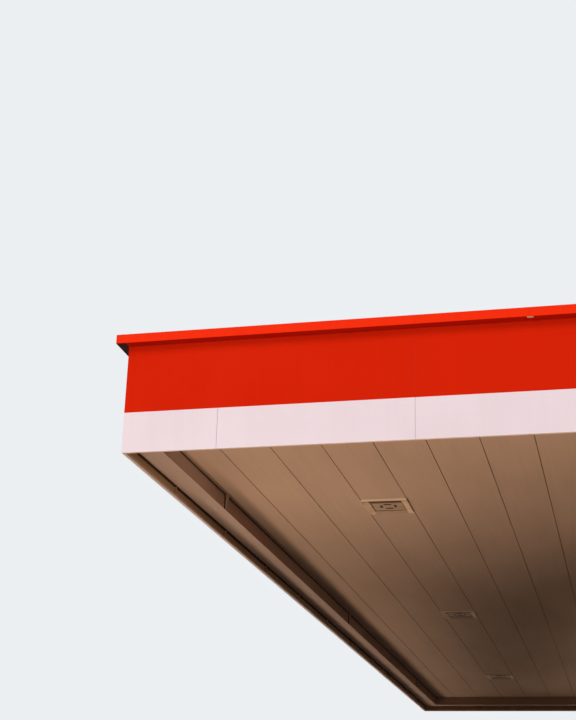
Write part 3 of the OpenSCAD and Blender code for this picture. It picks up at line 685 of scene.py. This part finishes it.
# Bolts through the beam's lower flange and the columns' cap plates, outside the columns
beam_flange_t, saddle_x, saddle_out = 0.0128, 0.06, 0.176
saddle = [(x, y + along) for x in (-saddle_x, saddle_x) for y in COLUMN_YS
          for along in (-saddle_out, saddle_out)]
heads = placed(bolt_head, [at(x, y, BEAM_LOW + beam_flange_t) for x, y in saddle])
nuts = placed(bolt_tip, [at(x, y, RIB_TOP, (0, 0, -1)) for x, y in saddle])
add_piece("saddle_bolts", merged(heads, nuts), "galvanised_plate", FASTENERS)
# Bolts through the purlins' end plates into the posts
end_plate_t, bolt_off, bolt_ups = 0.012, 0.016, (0.05, 0.209)
post_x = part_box("purlins_right")[1].x - end_plate_t
post_places = [at(side * post_x, y + across, RIB_TOP + up, (-side, 0, 0)) for side in (-1, 1)
               for y in PURLIN_YS for across in (-bolt_off, bolt_off) for up in bolt_ups]
add_piece("post_bolts", placed(small_head, post_places), "galvanised_plate", FASTENERS)

# Lights: screws in the plates' corners
plate_low, plate_screw_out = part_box("light_plates")[0].z, 0.132
plate_screws = [at(x + across, y + along, plate_low, (0, 0, -1)) for x, y in LIGHT_PLACES
                for across, along in corners(plate_screw_out)]
add_piece("light_screws", placed(pan_head, plate_screws), "light_frame_paint")
# Skirts of folded sheet round them, that hang under the deck at the near end and run out at the far one
skirt_half, skirt_t, skirt_gap = 0.2002, 0.0012, 0.0002
# Each end's place along the deck, from the light's middle, and its drop
near_end, far_end = (-0.255, 0.018), (0.24, 0.001)
skirt_rings = []
for side, (y, drop) in ((-1, near_end), (1, near_end), (1, far_end), (-1, far_end)):
    inner = (side * skirt_half, y)
    outer = (side * (skirt_half + skirt_t), y + math.copysign(skirt_t, y))
    skirt_rings.append([(*outer, 0.0), (*outer, -drop), (*inner, -drop), (*inner, 0.0)])
skirt_places = [Matrix.Translation((x, y, DECK - skirt_gap)) for x, y in LIGHT_PLACES]
skirts = placed(lofted(skirt_rings, looped=True), skirt_places)
# Their pale coat is a painted highlight on the walls
add_piece("light_skirts", skirts, "light_frame_paint", SKIRT_HIGHLIGHT_COAT)
# A rubber gasket under each plate's rim
gasket = square_ring([(0.1385, 0.0), (0.1455, 0.0), (0.1455, -0.0018), (0.1435, -0.0026),
                      (0.1405, -0.0026), (0.1385, -0.0018)])
gasket_places = [at(x, y, plate_low) for x, y in LIGHT_PLACES]
# The gasket's black is partly painted shade, for the dark outline round each plate
add_piece("plate_gaskets_and_shade", placed(gasket, gasket_places), "light_lens", BLACK_RUBBER)
# Lids with turned-down edges on the housings, each with a small hole in its middle
housing_top, lid_screw_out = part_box("light_housings")[1].z, 0.13
lid_half, lid_drop, lid_t, lid_gap, hole_half = 0.1512, 0.012, 0.0012, 0.0003, 0.002
lid = square_ring([(lid_half, -lid_drop), (lid_half + lid_t, -lid_drop), (lid_half + lid_t, lid_t / 2),
                   (lid_half + lid_t / 2, lid_t), (hole_half, lid_t), (hole_half, 0.0), (lid_half, 0.0)])
lid_places = [at(x, y, housing_top + lid_gap) for x, y in LIGHT_PLACES]
lid_screws = [place @ at(across, along, lid_t) for place in lid_places
              for across, along in corners(lid_screw_out)]
add_piece("housing_lids", placed(lid, lid_places), "light_housing")
add_piece("housing_screws", placed(low_head, lid_screws), "galvanised_plate", FASTENERS)

# Gutters: rivets through the straps at each joint, along the bottom and up the inner side
inner_side = HALF_W - GUTTER_IN
rivet_off, bottom_rows, side_rows = 0.02, (0.05, 0.1, 0.15, 0.205), (0.03, 0.075)
rivet_places = []
for side, joint in GUTTER_JOINTS:
    for y in (joint - rivet_off, joint + rivet_off):
        for inwards in bottom_rows:
            rivet_places.append(at(side * (HALF_W - inwards), y, GUTTER_LOW, (0, 0, -1)))
        for up in side_rows:
            rivet_places.append(at(side * inner_side, y, GUTTER_LOW + up, (-side, 0, 0)))
add_piece("gutter_rivets", placed(blind_rivet, rivet_places), "light_housing")
# A bead of black sealant up each joint, between the gutter's side and the bracket, and the bracket's rivet
bracket_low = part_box("gutter_brackets")[0].z
bead = [(0.0002, 0.003), (0.0002, -0.002), (0.003, -0.0045), (0.007, -0.003), (0.0095, 0.003)]
beads = [lofted([[(side * (inner_side - inwards), joint + along, z) for inwards, along in bead]
                 for z in (bracket_low + 0.001, DECK - 0.001)]) for side, joint in GUTTER_JOINTS]
rivet_in, rivet_up, bracket_y = 0.0145, 0.018, 0.003
bracket_rivets = [at(side * (inner_side - rivet_in), joint + bracket_y, bracket_low + rivet_up, (0, -1, 0))
                  for side, joint in GUTTER_JOINTS]
# The bead's black is partly painted shade, for the dark gap in each joint
add_piece("gutter_joint_sealant_and_shade", merged(*beads), "light_lens", BLACK_RUBBER)
add_piece("bracket_rivets", placed(blind_rivet, bracket_rivets), "light_housing")

# Fascia: sealant in the joints between panels, hollowed by the thumb
hollow = [(-0.0015, 0.0015), (-0.0007, 0.0021), (0.0, 0.0023), (0.0007, 0.0021), (0.0015, 0.0015),
          (0.0015, 0.006), (-0.0015, 0.006)]
seams = [(side, CORNER_LEG + k * PANEL_W - side_length(side) / 2) for side in range(4)
         for k in range(PANEL_COUNTS[side] + 1)]
# It lies 1.5 mm behind the white face and is nearly flush with the red one
for name, slot, finish, low, high, proud in (
        ("white_joint_sealant", "white_panel", GREY_SILICONE, 0.0016, WHITE_TOP - 0.0005, 0.0),
        ("red_joint_sealant", "red_panel", RED_SILICONE, WHITE_TOP + 0.0005, FASCIA_TOP - 0.001, 0.0012)):
    strip = lofted([[(x, y - proud, z) for x, y in hollow] for z in (low, high)])
    add_piece(name, placed(strip, along_sides(seams)), slot, finish)

# Trim: rivets up into the trays, and clips over its inner leg, in yellow zinc, that hold it to them
trim_rivet_in, trim_leg = 0.014, TRIM_HIGH.z - CLEAR
rivet_foot = at(0, trim_rivet_in, 0.0, (0, 0, -1))
add_piece("trim_rivets", placed(blind_rivet, along_sides(spaced(gap=0.6), rivet_foot)), "white_trim")
trim_clip = bent_strip([(0.0276, 0.004), (0.0276, trim_leg), (0.024, trim_leg)],
                       start=-0.0014, end=-0.0002, width=0.02)
add_piece("trim_clips", placed(trim_clip, along_sides(spaced(gap=0.24))), "galvanised_plate", PASSIVATED)

# Cap: plates inside its joints, a clip under each, and screws through the lap into the frame
splice = bent_strip([(0.0, CAP_LOW), (-CAP_OVER, CAP_LOW), (-CAP_OVER, CAP_TOP), (0.0, LAP_TOP)],
                    start=-0.0018, end=-0.003, width=0.1)
clip_lip = -CAP_OVER + 0.0015
joint_clip = bent_strip([(-0.055, CAP_LOW), (clip_lip, CAP_LOW), (clip_lip, CAP_LOW - 0.005)],
                        start=0.0002, end=0.0014, width=0.045)
# The last piece on a side is at least a quarter of a full length
cap_joints = [(side, STOCK_L * k - side_length(side) / 2) for side in range(4) for k in range(1, 6)
              if STOCK_L * (k + 0.25) < side_length(side)]
add_piece("cap_splices", placed(splice, along_sides(cap_joints)), "red_cap")
add_piece("cap_joint_clips", placed(joint_clip, along_sides(cap_joints)), "gutter_paint")
cap_screw_in = 0.05
cap_screws = along_sides(spaced(gap=0.6), at(0, cap_screw_in, LAP_TOP))
add_piece("cap_screws", placed(roof_screw, cap_screws), "galvanised_plate", FASTENERS)


# Camera at the photograph's view, solved from its edges along the front, along the deck and up

EYE = (-0.182, -16.828, 1.554)
# In radians
YAW, PITCH, ROLL = -0.251595, 0.369209, -0.031168
forward = Vector((math.sin(YAW) * math.cos(PITCH), math.cos(YAW) * math.cos(PITCH), math.sin(PITCH)))
level_right = Vector((math.cos(YAW), -math.sin(YAW), 0.0))
level_down = -level_right.cross(forward)
right = math.cos(ROLL) * level_right + math.sin(ROLL) * level_down
down = -math.sin(ROLL) * level_right + math.cos(ROLL) * level_down
optics = bpy.data.cameras.new("camera")
# The sensor's 36 mm lie along the frame's longer side, its height
optics.lens = 68.756
optics.sensor_width = 36.0
optics.clip_end = 500.0
camera = bpy.data.objects.new("camera", optics)
bpy.context.scene.collection.objects.link(camera)
camera.matrix_world = Matrix.Translation(EYE) @ Matrix((right, -down, -forward)).transposed().to_4x4()
bpy.context.scene.camera = camera


# Light: a high, soft sun and a low one from the front left, and a fill from the rear right

def lamp(name, kind, strength, place, towards, **settings):
    """A lamp that the camera doesn't see, and gloss only if it is a sun."""
    data = bpy.data.lights.new(name, kind)
    data.energy = strength
    for key, value in settings.items():
        setattr(data, key, value)
    holder = bpy.data.objects.new(name, data)
    bpy.context.scene.collection.objects.link(holder)
    holder.location = place
    holder.rotation_euler = (Vector(towards) - Vector(place)).to_track_quat("-Z", "Y").to_euler()
    holder.visible_camera = False
    holder.visible_glossy = kind == "SUN"


lamp("key", "SUN", 0.45 * math.pi, (-3.2, -7.3, 5.4), (0, 0, 0), angle=math.radians(30))
lamp("low_key", "SUN", 0.24 * math.pi, (-3.2, -7.3, 0.6), (0, 0, 0), angle=math.radians(8))
lamp("fill", "SUN", 0.7 * math.pi, (6.0, 6.5, 4.5), (0, 0, 0), angle=math.radians(40))


# Sunlit paving, as low lamps that shine up under the deck

def paving(name, watts, place, towards, length, depth, spread):
    lamp(name, "AREA", watts, place, towards, shape="RECTANGLE", size=length, size_y=depth,
         spread=math.radians(spread))


paving("far_front_paving", 56.4, (-1.63, -12.11, 0.4), (-4.0, -7.6, 9.37), 14.0, 1.0, 114)
paving("near_front_paving", 99.2, (-1.74, -11.04, 0.4), (-1.2, -7.6, 9.45), 14.0, 1.0, 65)
paving("corner_paving", 76.0, (-4.85, -7.04, 0.5), (2.6, -5.78, DECK), 2.0, 1.0, 103)
paving("low_corner_paving", 0.9, (2.5, -9.5, 0.3), (-3.8, -6.7, 4.64), 1.0, 0.6, 16)
paving("far_left_paving", 50.0, (-8.87, 1.0, 1.5), (-4.68, 1.38, DECK), 15.0, 2.5, 19)
paving("near_left_paving", 6.6, (-7.2, 1.0, 0.6), (-3.4, 1.0, DECK), 15.0, 0.8, 22)
paving("middle_paving", 12.0, (0.23, 3.55, 0.3), (-0.08, 3.49, DECK), 8.0, 0.8, 55)


# Surroundings: pale to the eye, to gloss and to glass, and darker in the light that they throw

def seen_rays(tree):
    """1 for what the camera, gloss or glass sees, and 0 for what lights the canopy."""
    rays = add(tree, "ShaderNodeLightPath").outputs
    seen = add(tree, "ShaderNodeMath", {0: rays["Is Camera Ray"], 1: rays["Is Glossy Ray"]},
               operation="ADD")
    return add(tree, "ShaderNodeMath", {0: seen.outputs[0], 1: rays["Is Transmission Ray"]},
               operation="ADD", use_clamp=True).outputs[0]


world = bpy.data.worlds.new("pale_surroundings")
bpy.context.scene.world = world
world.use_nodes = True
tree = world.node_tree
tree.nodes.clear()
level = add(tree, "ShaderNodeMapRange", {"Value": seen_rays(tree), "To Min": 0.25})
sky = add(tree, "ShaderNodeBackground", {"Color": linear("#eceff2"), "Strength": level.outputs[0]})
add(tree, "ShaderNodeOutputWorld", {"Surface": sky.outputs[0]})

# The floor is clear from below
floor_finish = bpy.data.materials.new("pale_floor")
floor_finish.use_nodes = True
tree = floor_finish.node_tree
tree.nodes.clear()
shade = add(tree, "ShaderNodeMix", {0: seen_rays(tree), 6: linear("#303030"), 7: linear("#f4f4f4")},
            data_type="RGBA")
matt = add(tree, "ShaderNodeBsdfDiffuse", {"Color": shade.outputs[2]})
clear = add(tree, "ShaderNodeBsdfTransparent")
from_below = add(tree, "ShaderNodeNewGeometry").outputs["Backfacing"]
ground = add(tree, "ShaderNodeMixShader", {0: from_below, 1: matt.outputs[0], 2: clear.outputs[0]})
add(tree, "ShaderNodeOutputMaterial", {"Surface": ground.outputs[0]})
disc_r, disc_low, disc_turns = 70, -0.0005, [math.radians(5 * i) for i in range(72)]
disc_rim = [(disc_r * math.cos(turn), disc_r * math.sin(turn), disc_low) for turn in disc_turns]
disc = bpy.data.meshes.new("floor")
disc.from_pydata(disc_rim, [], [tuple(range(len(disc_rim)))])
disc.materials.append(floor_finish)
floor = bpy.data.objects.new("floor", disc)
bpy.context.scene.collection.objects.link(floor)

bpy.context.scene.view_settings.view_transform = "Standard"
